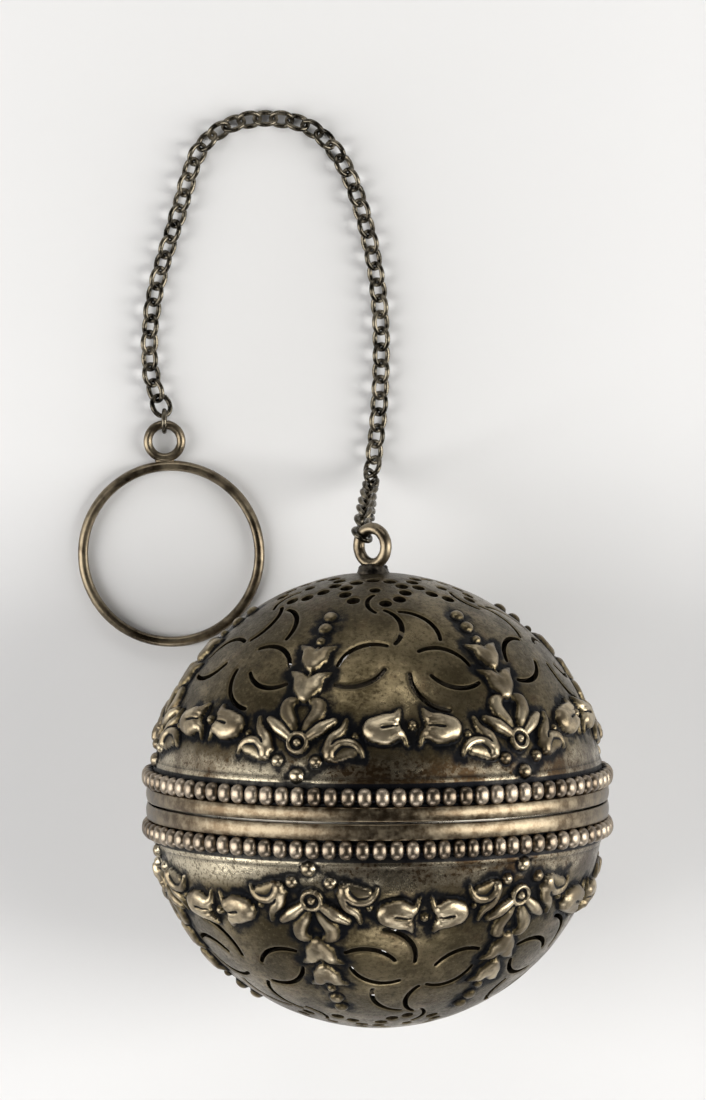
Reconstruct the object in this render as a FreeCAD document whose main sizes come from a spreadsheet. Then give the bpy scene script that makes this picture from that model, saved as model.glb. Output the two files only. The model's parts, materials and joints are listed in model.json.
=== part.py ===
"""Ball tea infuser: two pierced half shells, a push-fit collar, beaded rims, an eye, a link chain
and a finger ring.  Millimetres.  The ball lies on its side on the table plane Z = 0 with its axis
along +Y, the eye end towards +Y.  The origin is the table point straight under the ball's centre."""
import math
import os

import FreeCAD
import Part
import Sketcher

V = FreeCAD.Vector
DOC = FreeCAD.newDocument("TeaInfuser")
SHEET = DOC.addObject("Spreadsheet::Sheet", "Dims")

DIMENSIONS = {
    "ball_radius": 22.1,          # outside of the half shells
    "shell_thickness": 0.6,
    "pierce_width": 0.45,         # width of the cut scroll lines
    "sectors": 6,                 # repeats of the ornament round the axis
    "band_radius": 22.62,         # plain band beside the seam
    "band_inner": 22.12,
    "band_low": 0.04,
    "band_high": 1.3,
    "bead_row_radius": 22.35,     # beaded wire soldered round each rim
    "bead_row_height": 2.3,
    "bead_radius": 0.68,
    "bead_core_radius": 0.42,
    "bead_count": 88,
    "collar_radius": 21.32,       # the sleeve that the lid pushes over
    "collar_thickness": 0.4,
    "collar_reach": 2.5,          # above and below the seam
    "eye_ring_radius": 1.73,
    "eye_wire_radius": 0.575,
    "eye_centre_height": 24.8,
    "eye_side_shift": -0.4,
    "eye_turn": 41.0,             # degrees that the eye's plane is turned about the ball's axis
    "eye_base_radius": 1.75,
    "eye_base_top": 1.0,          # radius of the solder cone where the eye stands in it
    "eye_base_height": 0.75,
    "eye_base_sink": 0.3,         # how far the cone starts inside the shell before it is trimmed
    "link_length": 2.62,          # outside sizes of one chain link
    "link_width": 2.34,
    "link_wire_radius": 0.23,
    "link_pitch": 1.655,
    "ring_inner": 8.5,            # finger ring
    "ring_outer": 9.56,
    "ring_height": 1.2,
    "ring_flat": 0.7,             # straight part of the ring's inner wall
    "ring_x": -20.89,
    "ring_y": 23.15,
    "ring_tilt": 1.3,             # the last link under the bail lifts that side of the ring
    "bail_ring_radius": 1.7,
    "bail_wire_radius": 0.46,
    "bail_distance": 11.55,
    "bail_turn": 3.0,             # degrees of the bail round the ring, away from its top
    "bail_foot_radius": 0.36,     # the bar of solder between the bail and the ring
    "bail_foot_length": 2.0,
    "bail_foot_drop": 2.1,        # from the bail's centre to the bar
    "bail_foot_start": -1.05,
    "link_play": 0.03,            # air between the end links and the wires they hang on
}
for row, (alias, value) in enumerate(DIMENSIONS.items(), start=1):
    SHEET.set("A%d" % row, alias)
    SHEET.set("B%d" % row, repr(value))
    SHEET.setAlias("B%d" % row, alias)
DOC.recompute()


def dim(alias):
    """The value of one cell of the sheet."""
    return float(SHEET.get(alias))


BALL_CENTRE = V(0, 0, dim("bead_row_radius") + dim("bead_radius"))
UPPER_PHASE = 9.0        # degrees about the axis to the middle of the front sector, upper half
LOWER_PHASE = 12.6       # the same on the lower half, which was pushed in a little turned
SUBPARTS = []


def place(obj, placement):
    """Set an object's place and list it as a sub-part."""
    obj.Placement = placement
    SUBPARTS.append(obj)
    return obj


def half_placement(phase, flipped):
    """The place of a piece drawn on the upper half, turned about the axis or flipped to the lower half."""
    turn = FreeCAD.Rotation(V(0, 1, 0), phase)
    if flipped:
        turn = turn.multiply(FreeCAD.Rotation(V(0, 0, 1), 180))
    return FreeCAD.Placement(BALL_CENTRE, turn)


# ---------------------------------------------------------------- sketched bodies

def origin_feature(body, role):
    """One of the body's own planes or axes."""
    for feature in body.Origin.OriginFeatures:
        if feature.Role == role:
            return feature
    raise ValueError(role)


def new_body(label):
    """An empty body with its label."""
    body = DOC.addObject("PartDesign::Body", "Body_" + label)
    body.Label = label
    return body


def new_sketch(body, name):
    """A sketch on the body's XY plane."""
    sketch = body.newObject("Sketcher::SketchObject", name)
    sketch.AttachmentSupport = [(origin_feature(body, "XY_Plane"), "")]
    sketch.MapMode = "FlatFace"
    return sketch


def close_loop(sketch, first, count):
    """Join the ends of a run of sketch edges drawn head to tail."""
    for step in range(count):
        nxt = first + (step + 1) % count
        sketch.addConstraint(Sketcher.Constraint("Coincident", first + step, 2, nxt, 1))


def bind(sketch, kind, geo, point, expression, value):
    """Hold a point's distance from one axis of the sketch at a sheet expression."""
    index = sketch.addConstraint(Sketcher.Constraint(kind, -1, 1, geo, point, value))
    sketch.setExpression("Constraints[%d]" % index, expression)


def revolve(body, sketch):
    """Turn a sketch about the ball's axis into a solid."""
    solid = body.newObject("PartDesign::Revolution", "Turned_" + body.Label)
    solid.Profile = sketch
    solid.ReferenceAxis = (sketch, ["V_Axis"])
    solid.Angle = 360
    sketch.Visibility = False
    return solid


def ring_body(label, inner, outer, low, high):
    """A plain turned ring; its four sizes are sheet expressions."""
    body = new_body(label)
    sketch = new_sketch(body, "Section_" + label)
    a, b, c, d = [float(SHEET.evalExpression(text)) for text in (inner, outer, low, high)]
    corners = [V(a, c, 0), V(b, c, 0), V(b, d, 0), V(a, d, 0)]
    for step in range(4):
        sketch.addGeometry(Part.LineSegment(corners[step], corners[(step + 1) % 4]), False)
    close_loop(sketch, 0, 4)
    for step, kind in enumerate(("Horizontal", "Vertical", "Horizontal", "Vertical")):
        sketch.addConstraint(Sketcher.Constraint(kind, step))
    bind(sketch, "DistanceX", 0, 1, inner, a)
    bind(sketch, "DistanceX", 1, 1, outer, b)
    bind(sketch, "DistanceY", 0, 1, low, c)
    bind(sketch, "DistanceY", 2, 1, high, d)
    revolve(body, sketch)
    return body


# ---------------------------------------------------------------- pierced half shells

# The cut scroll lines of one sector: start, middle and end of each arc, as degrees of azimuth from
# the sector's middle and degrees of latitude above the seam.
SCROLLS = [
    ((-5.4, 60.0), (1.0, 53.8), (-2.6, 47.0)),
    ((2.0, 59.0), (12.0, 56.0), (15.0, 48.3)),
    ((5.4, 44.5), (14.0, 45.1), (22.0, 39.5)),
    ((7.6, 37.1), (14.5, 33.5), (22.5, 34.4)),
    ((1.0, 37.6), (3.0, 31.4), (11.0, 27.4)),
    ((-5.8, 46.5), (-15.0, 46.3), (-21.9, 40.4)),
    ((-6.8, 39.2), (-12.2, 35.2), (-21.7, 34.6)),
]
FLOWER_AZIMUTH = -10.5       # degrees, the little pierced flower beside the middle of each sector
FLOWER_LATITUDE = 70.5
FLOWER_SPREAD = 2.96         # from the flower's centre hole to its petal holes
FLOWER_HOLE = 0.6
FLOWER_PLACES = 11           # places round the flower, one of them left free for its tail
FLOWER_FIRST = -68.7         # degrees, the place beside the tail
DRILL_DEPTH = 3.0            # the cutters start this far inside the ball
DRILL_LENGTH = 6.0
FLOWER_TAIL = [(-0.1, -1.0), (-0.75, -2.1), (0.1, -4.4)]    # start, middle and end of the cut tail


def on_plane(azimuth, latitude):
    """A point of the sphere's front, seen along Z, in the sketch plane."""
    radius = dim("ball_radius")
    turn = math.radians(azimuth)
    rise = math.radians(latitude)
    return V(radius * math.cos(rise) * math.sin(turn), radius * math.sin(rise), 0)


def curved_slot(start, middle, end, width):
    """The four arcs of a round-ended slot of constant width along the arc through three points."""
    arc = Part.Arc(start, middle, end).toShape().Curve
    centre = arc.Center
    half = width / 2.0
    out_start = (start - centre).normalize()
    out_middle = (middle - centre).normalize()
    out_end = (end - centre).normalize()
    tip_start = start - (middle - start).normalize() * half
    tip_end = end + (end - middle).normalize() * half
    return [
        Part.Arc(start + out_start * half, centre + out_middle * (arc.Radius + half), end + out_end * half),
        Part.Arc(end + out_end * half, tip_end, end - out_end * half),
        Part.Arc(end - out_end * half, centre + out_middle * (arc.Radius - half), start - out_start * half),
        Part.Arc(start - out_start * half, tip_start, start + out_start * half),
    ]


def shell_body(label):
    """A half shell with its rim on the seam plane, pierced all round."""
    body = new_body(label)
    radius = dim("ball_radius")
    inner = radius - dim("shell_thickness")
    sketch = new_sketch(body, "Section_" + label)
    circle = Part.Circle(V(0, 0, 0), V(0, 0, 1), radius)
    inner_circle = Part.Circle(V(0, 0, 0), V(0, 0, 1), inner)
    sketch.addGeometry(Part.LineSegment(V(inner, 0, 0), V(radius, 0, 0)), False)
    sketch.addGeometry(Part.ArcOfCircle(circle, 0, math.pi / 2), False)
    sketch.addGeometry(Part.LineSegment(V(0, radius, 0), V(0, inner, 0)), False)
    sketch.addGeometry(Part.ArcOfCircle(inner_circle, 0, math.pi / 2), False)
    for edge in (1, 3):
        sketch.addConstraint(Sketcher.Constraint("Coincident", edge, 3, -1, 1))
    sketch.addConstraint(Sketcher.Constraint("Coincident", 0, 2, 1, 1))
    sketch.addConstraint(Sketcher.Constraint("Coincident", 1, 2, 2, 1))
    sketch.addConstraint(Sketcher.Constraint("Coincident", 2, 2, 3, 2))
    sketch.addConstraint(Sketcher.Constraint("Coincident", 3, 1, 0, 1))
    sketch.addConstraint(Sketcher.Constraint("PointOnObject", 0, 1, -1))
    sketch.addConstraint(Sketcher.Constraint("PointOnObject", 0, 2, -1))
    sketch.addConstraint(Sketcher.Constraint("PointOnObject", 2, 1, -2))
    sketch.addConstraint(Sketcher.Constraint("PointOnObject", 2, 2, -2))
    outer_size = sketch.addConstraint(Sketcher.Constraint("Radius", 1, radius))
    sketch.setExpression("Constraints[%d]" % outer_size, "Dims.ball_radius")
    inner_size = sketch.addConstraint(Sketcher.Constraint("Radius", 3, inner))
    sketch.setExpression("Constraints[%d]" % inner_size, "Dims.ball_radius - Dims.shell_thickness")
    turned = revolve(body, sketch)

    scrolls = new_sketch(body, "Scrolls_" + label)
    for points in SCROLLS:
        start, middle, end = [on_plane(azimuth, latitude) for azimuth, latitude in points]
        for edge in curved_slot(start, middle, end, dim("pierce_width")):
            scrolls.addGeometry(edge, False)
    pocket = body.newObject("PartDesign::Pocket", "Cut_" + label)
    pocket.Profile = scrolls
    pocket.Type = 1
    pocket.Reversed = True
    scrolls.Visibility = False
    DOC.recompute()
    assert pocket.Shape.Volume < turned.Shape.Volume - 1.0, "the scroll lines cut nothing"

    pattern = body.newObject("PartDesign::PolarPattern", "Sectors_" + label)
    pattern.Originals = [pocket]
    pattern.Axis = (origin_feature(body, "Y_Axis"), [""])
    pattern.Angle = 360
    pattern.setExpression("Occurrences", "Dims.sectors")
    body.Tip = pattern
    DOC.recompute()
    return body


def flower_drills():
    """Cutters for the pierced flowers, square to the shell under each flower's middle."""
    drills = []
    depth = dim("ball_radius") - DRILL_DEPTH
    tail_ends = [V(across, up, depth) for across, up in FLOWER_TAIL]
    tail_wire = Part.Wire([edge.toShape() for edge in curved_slot(*tail_ends, dim("pierce_width"))])
    sectors = int(dim("sectors"))
    for sector in range(sectors):
        turn = FreeCAD.Rotation(V(0, 1, 0), 360.0 / sectors * sector + FLOWER_AZIMUTH)
        lean = FreeCAD.Rotation(V(1, 0, 0), -FLOWER_LATITUDE)
        frame = FreeCAD.Placement(V(0, 0, 0), turn.multiply(lean))
        cutters = [Part.makeCylinder(FLOWER_HOLE, DRILL_LENGTH, V(0, 0, depth)),
                   Part.Face(tail_wire).extrude(V(0, 0, DRILL_LENGTH))]
        for petal in range(FLOWER_PLACES - 1):
            angle = math.radians(FLOWER_FIRST + 360.0 * petal / FLOWER_PLACES)
            foot = V(FLOWER_SPREAD * math.cos(angle), FLOWER_SPREAD * math.sin(angle), depth)
            cutters.append(Part.makeCylinder(FLOWER_HOLE, DRILL_LENGTH, foot))
        for cutter in cutters:
            cutter.Placement = frame.multiply(cutter.Placement)
            drills.append(cutter)
    return drills


# ---------------------------------------------------------------- beaded rims and collar

def bead_ring(label, flipped, phase):
    """Beaded wire: round beads on a core, flat where it is soldered to the shell."""
    row_radius = dim("bead_row_radius")
    height = dim("bead_row_height")
    count = int(dim("bead_count"))
    core = Part.makeTorus(row_radius, dim("bead_core_radius"), V(0, height, 0), V(0, 1, 0))
    beads = []
    for step in range(count):
        angle = 2 * math.pi * step / count
        centre = V(row_radius * math.sin(angle), height, row_radius * math.cos(angle))
        beads.append(Part.makeSphere(dim("bead_radius"), centre))
    ring = core.multiFuse(beads).cut(Part.makeSphere(dim("ball_radius")))
    node = DOC.addObject("Part::Feature", "Node_" + label)
    node.Label = label
    node.Shape = ring
    return place(node, half_placement(phase, flipped))


# ---------------------------------------------------------------- eye

def eye_frame():
    """The eye ring's place: its plane holds the ball's axis."""
    centre = BALL_CENTRE + V(dim("eye_side_shift"), dim("eye_centre_height"), 0)
    across = V(math.cos(math.radians(dim("eye_turn"))), 0, math.sin(math.radians(dim("eye_turn"))))
    return centre, across


def make_eye():
    """The wire eye and the small collar of solder and plate that it stands on."""
    centre, across = eye_frame()
    normal = across.cross(V(0, 1, 0))
    ring = DOC.addObject("Part::Torus", "Node_top_eye")
    ring.Label = "top_eye"
    ring.setExpression("Radius1", "Dims.eye_ring_radius")
    ring.setExpression("Radius2", "Dims.eye_wire_radius")
    place(ring, FreeCAD.Placement(centre, FreeCAD.Rotation(V(0, 0, 1), normal)))

    DOC.recompute()
    foot = BALL_CENTRE + V(dim("eye_side_shift"), 0, 0)
    bottom = dim("ball_radius") - dim("eye_base_sink")
    height = dim("eye_base_height") + dim("eye_base_sink")
    cone = Part.makeCone(dim("eye_base_radius"), dim("eye_base_top"), height, foot + V(0, bottom, 0),
                         V(0, 1, 0))
    ball = Part.makeSphere(dim("ball_radius"), BALL_CENTRE)
    base = cone.cut(ball).cut(ring.Shape)
    node = DOC.addObject("Part::Feature", "Node_eye_base")
    node.Label = "eye_base"
    node.Shape = base.Solids[0]
    place(node, FreeCAD.Placement())


# ---------------------------------------------------------------- finger ring and bail

def finger_ring_placement():
    """The finger ring lies on the table, its bail side raised by the last link."""
    tilt = FreeCAD.Rotation(V(1, 0, 0), dim("ring_tilt"))
    low_edge = V(0, -dim("ring_outer"), 0)
    lifted = tilt.multVec(low_edge)
    base = V(dim("ring_x"), dim("ring_y"), 0) + low_edge - lifted
    return FreeCAD.Placement(base, tilt)


SHOULDER = (0.16, 0.07)      # the inner shoulder's middle: in from the wall, down from the top
ROUND_BACK = (0.14, 0.18)    # the round back's middle: in from the outside, down from the top
TRIM_AIR = 0.01              # between the finger ring and the trimmed bail


def make_finger_ring():
    """The finger ring: a round-backed band with a short straight inner wall."""
    inner = dim("ring_inner")
    outer = dim("ring_outer")
    tall = dim("ring_height")
    flat = dim("ring_flat")
    low = (tall - flat) / 2
    middle = (inner + outer) / 2
    points = [V(inner, 0, low), V(inner, 0, low + flat), V(middle, 0, tall), V(outer, 0, tall / 2),
              V(middle, 0, 0)]
    edges = [
        Part.LineSegment(points[0], points[1]).toShape(),
        Part.Arc(points[1], V(inner + SHOULDER[0], 0, tall - SHOULDER[1]), points[2]).toShape(),
        Part.Arc(points[2], V(outer - ROUND_BACK[0], 0, tall - ROUND_BACK[1]), points[3]).toShape(),
        Part.Arc(points[3], V(outer - ROUND_BACK[0], 0, ROUND_BACK[1]), points[4]).toShape(),
        Part.Arc(points[4], V(inner + SHOULDER[0], 0, SHOULDER[1]), points[0]).toShape(),
    ]
    section = Part.Face(Part.Wire(edges))
    ring = section.revolve(V(0, 0, 0), V(0, 0, 1), 360)
    node = DOC.addObject("Part::Feature", "Node_finger_ring")
    node.Label = "finger_ring"
    node.Shape = ring
    placement = finger_ring_placement()
    place(node, placement)

    bail_side = -math.tan(math.radians(dim("bail_turn"))) * dim("bail_distance")
    bail_centre = V(bail_side, dim("bail_distance"), tall / 2)
    loop = Part.makeTorus(dim("bail_ring_radius"), dim("bail_wire_radius"), bail_centre, V(0, 0, 1))
    foot_start = bail_centre + V(dim("bail_foot_start"), -dim("bail_foot_drop"), 0)
    foot = Part.makeCylinder(dim("bail_foot_radius"), dim("bail_foot_length"), foot_start, V(1, 0, 0))
    bail = loop.fuse(foot)
    blank = Part.makeCylinder(outer + TRIM_AIR, tall + 2, V(0, 0, -1))
    bail = bail.cut(blank)
    node = DOC.addObject("Part::Feature", "Node_ring_bail")
    node.Label = "ring_bail"
    node.Shape = bail.Solids[0]
    place(node, placement)
    return placement.multVec(bail_centre)


# ---------------------------------------------------------------- chain

FLAT = 0.93              # height of the link centres where the chain lies rolled on its corners
UPRIGHT = 1.2            # height of the last link, which stands on edge through the bail
EYE_CONTACT = 141.0      # degrees round the eye ring from its raised side to where the chain hangs
FIRST_LEAD = (0.06, 0.30, -0.95)    # the way the first link leaves the eye
ROLLED = 45.0            # degrees each lying link is rolled onto its corner
ROLL_LINKS = 12          # links over which the roll settles after the eye


def chain_ends(bail_centre):
    """The first and last points of the chain's line, just inside the eye and the bail."""
    centre, across = eye_frame()
    turn = math.radians(EYE_CONTACT)
    ring = dim("eye_ring_radius")
    wire = centre + across * (ring * math.cos(turn)) + V(0, ring * math.sin(turn), 0)
    tangent = across * -math.sin(turn) + V(0, math.cos(turn), 0)
    half_inside = dim("link_length") / 2 - dim("link_wire_radius")
    first_offset = half_inside - dim("eye_wire_radius") - dim("link_wire_radius") - dim("link_play")
    back = dim("link_pitch") / 2 - first_offset
    lead = V(*FIRST_LEAD).normalize()
    start = wire - lead * back
    last_offset = half_inside - dim("bail_wire_radius") - dim("link_wire_radius") - dim("link_play")
    wire_y = bail_centre.y + dim("bail_ring_radius")
    end = V(bail_centre.x, wire_y + last_offset - dim("link_pitch") / 2, UPRIGHT)
    return start, lead, tangent, end


def chain_line(start, lead, end):
    """The smooth line of the chain: down from the eye, an arch over the table, and to the bail."""
    pitch = dim("link_pitch")
    points = [
        start, start + lead * pitch,
        V(-1.15, 27.3, 18.0), V(-0.9, 28.4, 12.5), V(-0.65, 29.5, 7.0), V(-0.4, 30.8, 2.7),
        V(-0.2, 32.5, 1.25), V(0.05, 34.3, FLAT), V(0.3, 36.5, FLAT), V(0.65, 42.0, FLAT),
        V(0.6, 47.5, FLAT),
        V(0.0, 52.7, FLAT), V(-1.5, 58.9, FLAT), V(-3.6, 63.7, FLAT), V(-6.5, 66.6, FLAT),
        V(-10.4, 67.5, FLAT), V(-14.6, 66.9, FLAT), V(-17.6, 64.6, FLAT), V(-19.1, 60.8, FLAT),
        V(-20.7, 55.6, FLAT), V(-22.2, 50.6, FLAT), V(-22.95, 45.5, FLAT), V(-22.85, 41.6, FLAT),
        V(-22.25, 39.3, FLAT + 0.1), end + V(0, pitch, 0), end,
    ]
    line = Part.BSplineCurve()
    line.interpolate(points)
    return line


def link_solid():
    """One oval link round the origin: long side on X, lying in the XY plane."""
    wire = dim("link_wire_radius")
    bend = dim("link_width") / 2 - wire
    straight = dim("link_length") / 2 - wire - bend
    right = V(straight, 0, 0)
    left = V(-straight, 0, 0)
    path = Part.Wire([
        Part.LineSegment(left + V(0, bend, 0), right + V(0, bend, 0)).toShape(),
        Part.Arc(right + V(0, bend, 0), right + V(bend, 0, 0), right + V(0, -bend, 0)).toShape(),
        Part.LineSegment(right + V(0, -bend, 0), left + V(0, -bend, 0)).toShape(),
        Part.Arc(left + V(0, -bend, 0), left + V(-bend, 0, 0), left + V(0, bend, 0)).toShape(),
    ])
    circle = Part.Wire(Part.Circle(left + V(0, bend, 0), V(1, 0, 0), wire).toShape())
    return path.makePipeShell([circle], True, False)


def roll_at(step, count, start_roll):
    """How far a link is rolled about the chain, before the quarter turn from link to link."""
    keys = [(0, start_roll), (ROLL_LINKS, ROLLED), (count - 3, ROLLED), (count - 1, 0.0)]
    for (low, low_roll), (high, high_roll) in zip(keys, keys[1:]):
        if step <= high:
            share = (step - low) / float(high - low)
            return low_roll + (high_roll - low_roll) * share
    return keys[-1][1]


def make_chain(bail_centre):
    """All the links, two to a node, and the list of the points where they hang in each other."""
    start, lead, tangent, end = chain_ends(bail_centre)
    line = chain_line(start, lead, end)
    length = line.length()
    count = int(round(length / dim("link_pitch")))
    print("chain line %.2f mm, %d links, pitch %.4f" % (length, count, length / count))
    joints = line.discretize(Number=count + 1)
    link = link_solid()
    links = []
    start_roll = None
    for step in range(count):
        along = (joints[step + 1] - joints[step]).normalize()
        side = along.cross(V(0, 0, 1)).normalize()
        rise = side.cross(along)
        if start_roll is None:
            start_roll = math.degrees(math.atan2(tangent.dot(rise), tangent.dot(side)))
            start_roll = (start_roll + 90.0) % 180.0 - 90.0
            print("first link's roll %.1f" % start_roll)
        roll = math.radians(roll_at(step, count, start_roll) + 90.0 * (step % 2))
        normal = side * math.cos(roll) + rise * math.sin(roll)
        across = normal.cross(along)
        matrix = FreeCAD.Matrix(along.x, across.x, normal.x, 0, along.y, across.y, normal.y, 0,
                                along.z, across.z, normal.z, 0, 0, 0, 0, 1)
        copy = link.copy()
        middle = (joints[step] + joints[step + 1]) * 0.5
        copy.Placement = FreeCAD.Placement(middle, FreeCAD.Placement(matrix).Rotation)
        links.append(copy)
    for first in range(0, count, 2):
        label = "chain_links_%02d" % (first // 2 + 1)
        node = DOC.addObject("Part::Feature", "Node_" + label)
        node.Label = label
        node.Shape = Part.makeCompound(links[first:first + 2])
        place(node, FreeCAD.Placement())
    return joints


# ---------------------------------------------------------------- the assembly

def drilled(label, body, phase, flipped):
    """The half shell with its pierced flowers drilled."""
    body.Label = "Turned_and_cut_" + label
    node = DOC.addObject("Part::Feature", "Node_" + label)
    node.Label = label
    node.Shape = body.Shape.cut(Part.makeCompound(flower_drills()))
    return place(node, half_placement(phase, flipped))


def main():
    """Build every sub-part, check it and write it."""
    for half, flipped, phase in (("lower", True, LOWER_PHASE), ("upper", False, UPPER_PHASE)):
        drilled(half + "_shell", shell_body(half + "_shell"), phase, flipped)
        band = ring_body(half + "_rim_band", "Dims.band_inner", "Dims.band_radius", "Dims.band_low",
                         "Dims.band_high")
        place(band, half_placement(phase, flipped))
        bead_ring(half + "_bead_ring", flipped, phase)
    collar = ring_body("inner_collar", "Dims.collar_radius - Dims.collar_thickness", "Dims.collar_radius",
                       "0 - Dims.collar_reach", "Dims.collar_reach")
    place(collar, FreeCAD.Placement(BALL_CENTRE, FreeCAD.Rotation()))
    make_eye()
    bail_centre = make_finger_ring()
    joints = make_chain(bail_centre)
    DOC.recompute()

    for obj in DOC.Objects:
        assert "Invalid" not in obj.State and "Error" not in obj.State, obj.Label
    os.makedirs("parts", exist_ok=True)
    for obj in SUBPARTS:
        shape = obj.Shape
        assert not shape.isNull() and shape.isValid(), obj.Label
        for solid in shape.Solids:
            assert solid.Volume > 0.01, obj.Label
        shape.exportStep("parts/%s.step" % obj.Label)
    print("%d sub-parts" % len(SUBPARTS))
    print("bail wire %.3f %.3f %.3f" % (bail_centre.x, bail_centre.y + dim("bail_ring_radius"), bail_centre.z))
    for step, joint in enumerate(joints):
        print("link contact %d  %.3f %.3f %.3f" % (step, joint.x, joint.y, joint.z))


main()
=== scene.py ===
import json
import math

import bmesh
import bpy
import numpy as np
from mathutils import Matrix, Vector, geometry


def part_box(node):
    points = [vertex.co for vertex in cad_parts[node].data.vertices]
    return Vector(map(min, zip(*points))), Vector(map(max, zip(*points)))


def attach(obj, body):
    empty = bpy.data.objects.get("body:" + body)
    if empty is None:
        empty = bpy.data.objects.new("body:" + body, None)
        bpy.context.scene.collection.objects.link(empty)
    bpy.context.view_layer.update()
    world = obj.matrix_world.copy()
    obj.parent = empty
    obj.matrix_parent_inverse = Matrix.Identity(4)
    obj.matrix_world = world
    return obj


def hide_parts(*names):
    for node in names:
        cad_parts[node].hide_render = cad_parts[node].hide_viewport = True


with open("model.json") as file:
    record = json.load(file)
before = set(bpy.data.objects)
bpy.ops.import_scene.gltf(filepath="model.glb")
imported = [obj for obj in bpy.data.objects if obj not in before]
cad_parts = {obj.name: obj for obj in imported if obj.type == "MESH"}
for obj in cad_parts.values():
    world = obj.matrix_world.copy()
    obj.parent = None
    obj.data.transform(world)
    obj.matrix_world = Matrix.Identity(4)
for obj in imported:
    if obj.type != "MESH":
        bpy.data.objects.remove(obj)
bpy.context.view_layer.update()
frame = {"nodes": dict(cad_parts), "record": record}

MM = 0.001
RADIUS = 22.1                 # outside of the half shells, in millimetres as every size below
SHELL = 0.6                   # the wall
CENTRE = np.array([0.0, 0.0, 23.03])
UPPER_PHASE = 9.0             # how far each half is turned about the ball's axis, in degrees
LOWER_PHASE = 12.6
SECTORS = 6                   # times that the ornament repeats round a half
SECTOR = 360.0 / SECTORS
FAR = 9.0                     # stands for a distance that is out of reach
HALVES = (("upper", UPPER_PHASE, False, "lid"), ("lower", LOWER_PHASE, True, "base"))


# ---------------------------------------------------------------- helpers

def unit(azimuth, latitude):
    """Unit vectors on the ball, with the pole along +Y and azimuth 0 facing +Z."""
    a, l = np.radians(azimuth), np.radians(latitude)
    return np.stack([np.cos(l) * np.sin(a), np.sin(l) + 0 * a, np.cos(l) * np.cos(a)], -1)


def smooth(low, high, x):
    """A soft step from 0 at low to 1 at high."""
    t = np.clip((x - low) / (high - low), 0, 1)
    return t * t * (3 - 2 * t)


def ripple(p, seed, scale, octaves=4):
    """Smooth repeatable unevenness from a sum of plane waves, about -1 to 1."""
    gen = np.random.default_rng(seed)
    total = np.zeros(len(p))
    for octave in range(octaves):
        for _ in range(4):
            direction = gen.normal(size=3)
            direction *= 2 * np.pi / scale * (1.7 ** octave) / np.linalg.norm(direction)
            total += np.sin(p @ direction + gen.uniform(0, 6.28)) * 0.6 ** octave
    return total / 4


def make_mesh(name, verts_mm, faces, sharp=None, attributes=None):
    """A smooth-shaded object from points in millimetres, with its sharp edges and point attributes."""
    mesh = bpy.data.meshes.new(name)
    verts = np.asarray(verts_mm, float) * MM
    mesh.from_pydata(verts.tolist(), [], [list(map(int, f)) for f in faces])
    mesh.polygons.foreach_set("use_smooth", [True] * len(mesh.polygons))
    for key, values in (attributes or {}).items():
        layer = mesh.attributes.new(key, "FLOAT", "POINT")
        layer.data.foreach_set("value", np.asarray(values, np.float32))
    if sharp is not None:
        keys = {tuple(sorted(pair)) for pair in sharp}
        flags = [tuple(sorted(e.vertices)) in keys for e in mesh.edges]
        layer = mesh.attributes.new("sharp_edge", "BOOLEAN", "EDGE")
        layer.data.foreach_set("value", flags)
    mesh.update()
    obj = bpy.data.objects.new(name, mesh)
    bpy.context.scene.collection.objects.link(obj)
    return obj


def grid_faces(rows, columns, start=0, closed=True):
    """Quads between rows of points that close on themselves; closed joins the last row to the first."""
    faces = []
    for i in range(rows if closed else rows - 1):
        k = (i + 1) % rows
        for j in range(columns):
            m = (j + 1) % columns
            faces.append((start + i * columns + j, start + i * columns + m,
                          start + k * columns + m, start + k * columns + j))
    return faces


# ---------------------------------------------------------------- camera, floor and light

HALF_VIEW = 0.1194743130      # half of what the camera sees upwards, over its distance
CAMERA_AT = (-2.29, 46.46, 471.3)
CAMERA_PITCH = -2.8           # degrees
CAMERA_ROLL = -0.24           # degrees
FLOOR_HALF = 2.0              # metres

camera_data = bpy.data.cameras.new("camera")
camera = bpy.data.objects.new("camera", camera_data)
bpy.context.scene.collection.objects.link(camera)
camera_data.sensor_fit = "VERTICAL"
camera_data.angle_y = 2 * math.atan(HALF_VIEW)
camera_data.clip_start = 0.01
camera.matrix_world = (Matrix.Translation(Vector(CAMERA_AT) * MM)
                       @ Matrix.Rotation(math.radians(CAMERA_PITCH), 4, "X")
                       @ Matrix.Rotation(math.radians(CAMERA_ROLL), 4, "Z"))
bpy.context.scene.camera = camera
bpy.context.scene.view_settings.view_transform = "Standard"

floor_mesh = bpy.data.meshes.new("floor")
floor_mesh.from_pydata([(x * FLOOR_HALF, y * FLOOR_HALF, 0) for x, y in ((-1, -1), (1, -1), (1, 1), (-1, 1))],
                       [], [(0, 1, 2, 3)])
floor = bpy.data.objects.new("floor", floor_mesh)
bpy.context.scene.collection.objects.link(floor)


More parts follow.
